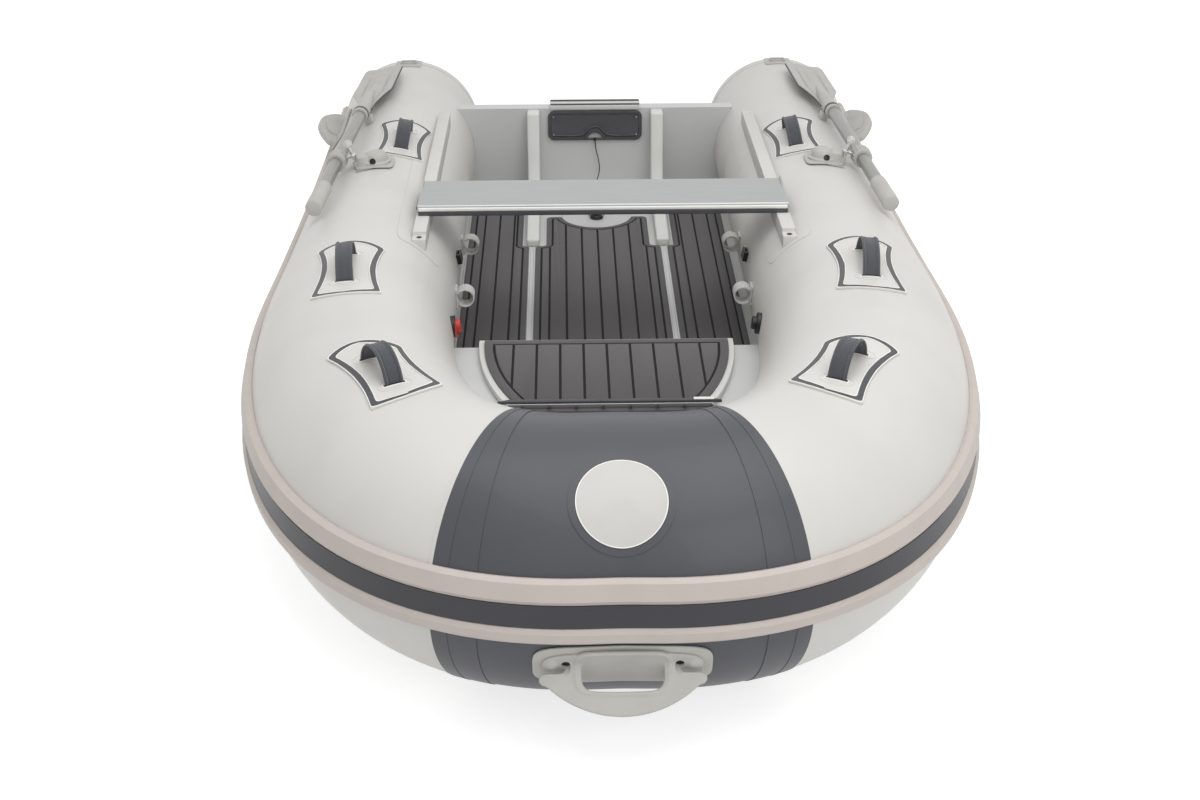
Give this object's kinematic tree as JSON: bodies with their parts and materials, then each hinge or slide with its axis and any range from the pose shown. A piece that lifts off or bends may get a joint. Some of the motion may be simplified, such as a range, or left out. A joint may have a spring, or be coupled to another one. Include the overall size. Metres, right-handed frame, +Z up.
{
  "type": "inflatable rib boat",
  "caption": "Small rigid inflatable tender: vee hull, air tubes with a dark bow panel and strake, bow locker, sliding bench, stowed oars and a transom for an outboard.",
  "frame": {"origin": "on the centreline at the waterline, midway along the overall length", "axes": "+Z up, bow towards -Y, port towards +X"},
  "size_m": [1.7578, 3.3898, 0.7792],
  "materials": {
    "tube_grey": "satin coated fabric",
    "tube_dark": "satin coated fabric",
    "strake_beige": "satin moulded rubber",
    "gelcoat": "satin gelcoat",
    "eva": "brushed foam",
    "dark_plastic": "matte",
    "light_plastic": "satin",
    "aluminium": "anodised",
    "webbing": "ribbed",
    "steel": "polished",
    "cord": "braided"
  },
  "bodies": {
    "hull": {"badge": "light_plastic", "bow_deck": "gelcoat", "bow_eye": "steel", "bow_handle": "light_plastic", "deck_pad_centre": "eva", "deck_pad_port": "eva", "deck_pad_starboard": "eva", "drain_plug": "dark_plastic", "drain_well": "gelcoat", "fore_pad": "eva", "hull": "gelcoat", "keel_guard": "aluminium", "lanyard": "cord", "lanyard_anchor": "dark_plastic", "lid_hinge": "dark_plastic", "line_cleats": "dark_plastic", "motor_pad_inner": "dark_plastic", "motor_pad_outer": "dark_plastic", "oar_clip_port": "light_plastic", "oar_clip_starboard": "light_plastic", "quarter_handle_port": "light_plastic", "quarter_handle_starboard": "light_plastic", "rowlock_port": "light_plastic", "rowlock_starboard": "light_plastic", "seat_rail_port": "tube_grey", "seat_rail_starboard": "tube_grey", "side_loops": "light_plastic", "stern_caps": "light_plastic", "stern_cone_port": "tube_grey", "stern_cone_starboard": "tube_grey", "stern_rings": "tube_grey", "strake_lower": "strake_beige", "strake_stripe": "tube_dark", "strake_upper": "strake_beige", "strap_patches_port": "tube_grey", "strap_patches_starboard": "tube_grey", "straps_port": "webbing", "straps_starboard": "webbing", "transom": "gelcoat", "transom_brace_port": "gelcoat", "transom_brace_starboard": "gelcoat", "transom_cap": "dark_plastic", "tube_bow": "tube_dark", "tube_port": "tube_grey", "tube_starboard": "tube_grey", "valves": "light_plastic"},
    "locker_lid": {"locker_lid": "gelcoat", "lid_pad": "eva"},
    "bench": {"bench": "aluminium", "bench_shoes": "dark_plastic"},
    "oar_port": {"oar_shaft_port": "aluminium", "oar_grip_port": "light_plastic", "oar_blade_port": "light_plastic", "oarlock_port": "light_plastic"},
    "oar_starboard": {"oar_shaft_starboard": "aluminium", "oar_grip_starboard": "light_plastic", "oar_blade_starboard": "light_plastic", "oarlock_starboard": "light_plastic"}
  },
  "joints": [
    {"name": "locker_lid_hinge", "type": "hinge", "parent": "hull", "child": "locker_lid", "pos_m": [0, -0.7253, 0.2675], "axis": [1, 0, 0], "range_deg": [0, 105]},
    {"name": "bench_slide", "type": "slide", "parent": "hull", "child": "bench", "axis": [0, 0.9994, -0.0356], "range_m": [-0.11, 0.77]},
    {"name": "oar_swing_port", "type": "hinge", "parent": "hull", "child": "oar_port", "pos_m": [0.69332, 0.3676, 0.51516], "axis": [-0.3434, -0.0187, -0.939], "range_deg": [0, 95]},
    {"name": "oar_swing_starboard", "type": "hinge", "parent": "hull", "child": "oar_starboard", "pos_m": [-0.69332, 0.3676, 0.51516], "axis": [-0.3434, 0.0187, 0.939], "range_deg": [0, 95]}
  ]
}
